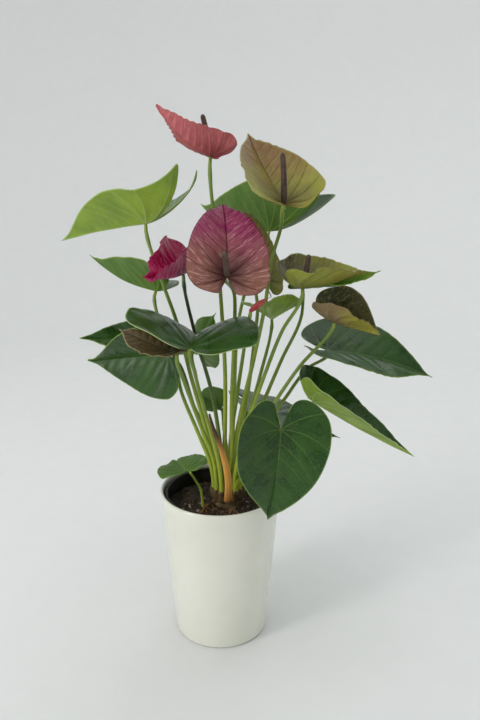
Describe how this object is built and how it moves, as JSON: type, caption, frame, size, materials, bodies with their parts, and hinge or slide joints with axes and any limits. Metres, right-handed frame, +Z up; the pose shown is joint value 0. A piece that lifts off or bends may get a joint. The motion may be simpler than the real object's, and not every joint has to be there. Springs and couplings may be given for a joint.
{
  "type": "potted anthurium",
  "caption": "Houseplant in a tapered glazed pot: glossy heart-shaped leaves and coloured spathes with dark spikes on long stalks from one crown in dark soil.",
  "frame": {"origin": "centre of the pot's flat base, where it stands", "axes": "+Z up; +X to the right and -Y towards a viewer who faces the leaf that hangs over the rim"},
  "size_m": [0.3992, 0.2674, 0.5518],
  "materials": {
    "bud_skin": "waxy red furled bud",
    "crown_skin": "knobbly green-brown crown of the plant",
    "dried_sheath": "dried orange-tan papery sheath",
    "glazed_pot": "glossy cream-white ceramic glaze",
    "grow_pot_plastic": "thin black nursery pot",
    "leaf_skin": "waxy dark green leaf, lighter underside",
    "root_skin": "dry brown surface roots",
    "soil_mix": "damp dark bark and peat mix, loose",
    "spadix_skin": "fine-grained dark brown flower spike",
    "spathe_behind_skin": "waxy olive-brown",
    "spathe_brown_green_skin": "waxy brown-green, striped inside",
    "spathe_brown_skin": "ageing brown with a pale rim",
    "spathe_fuchsia_skin": "waxy fuchsia",
    "spathe_green_skin": "waxy yellow-green",
    "spathe_magenta_skin": "waxy magenta fading to brown-pink, veined",
    "spathe_olive_skin": "waxy olive with a brown top",
    "spathe_pink_skin": "waxy salmon pink",
    "stalk_skin": "smooth yellow-green living stalk"
  },
  "bodies": {
    "root": {"crown": "crown_skin", "grow_pot": "grow_pot_plastic", "leaf_back_low": "leaf_skin", "leaf_back_right": "leaf_skin", "leaf_back_top": "leaf_skin", "leaf_behind_stalks": "leaf_skin", "leaf_centre": "leaf_skin", "leaf_front": "leaf_skin", "leaf_left": "leaf_skin", "leaf_left_low": "leaf_skin", "leaf_left_upper": "leaf_skin", "leaf_middle_front": "leaf_skin", "leaf_right": "leaf_skin", "leaf_right_back": "leaf_skin", "leaf_right_low": "leaf_skin", "leaf_rim_left": "leaf_skin", "leaf_top_left": "leaf_skin", "pot": "glazed_pot", "root_1": "root_skin", "root_2": "root_skin", "sheath": "dried_sheath", "soil": "soil_mix", "spadix_green": "spadix_skin", "spadix_magenta": "spadix_skin", "spadix_olive": "spadix_skin", "spadix_pink": "spadix_skin", "spathe_behind": "spathe_behind_skin", "spathe_brown": "spathe_brown_skin", "spathe_brown_green": "spathe_brown_green_skin", "spathe_bud": "bud_skin", "spathe_fuchsia": "spathe_fuchsia_skin", "spathe_green": "spathe_green_skin", "spathe_magenta": "spathe_magenta_skin", "spathe_olive": "spathe_olive_skin", "spathe_pink": "spathe_pink_skin", "stalk_leaf_back_low": "stalk_skin", "stalk_leaf_back_right": "stalk_skin", "stalk_leaf_back_top": "stalk_skin", "stalk_leaf_behind_stalks": "stalk_skin", "stalk_leaf_centre": "stalk_skin", "stalk_leaf_front": "stalk_skin", "stalk_leaf_left": "stalk_skin", "stalk_leaf_left_low": "stalk_skin", "stalk_leaf_left_upper": "stalk_skin", "stalk_leaf_middle_front": "stalk_skin", "stalk_leaf_right": "stalk_skin", "stalk_leaf_right_back": "stalk_skin", "stalk_leaf_right_low": "stalk_skin", "stalk_leaf_rim_left": "stalk_skin", "stalk_leaf_top_left": "stalk_skin", "stalk_spathe_behind": "stalk_skin", "stalk_spathe_brown": "stalk_skin", "stalk_spathe_brown_green": "stalk_skin", "stalk_spathe_bud": "stalk_skin", "stalk_spathe_fuchsia": "stalk_skin", "stalk_spathe_green": "stalk_skin", "stalk_spathe_magenta": "stalk_skin", "stalk_spathe_olive": "stalk_skin", "stalk_spathe_pink": "stalk_skin"}
  },
  "joints": []
}
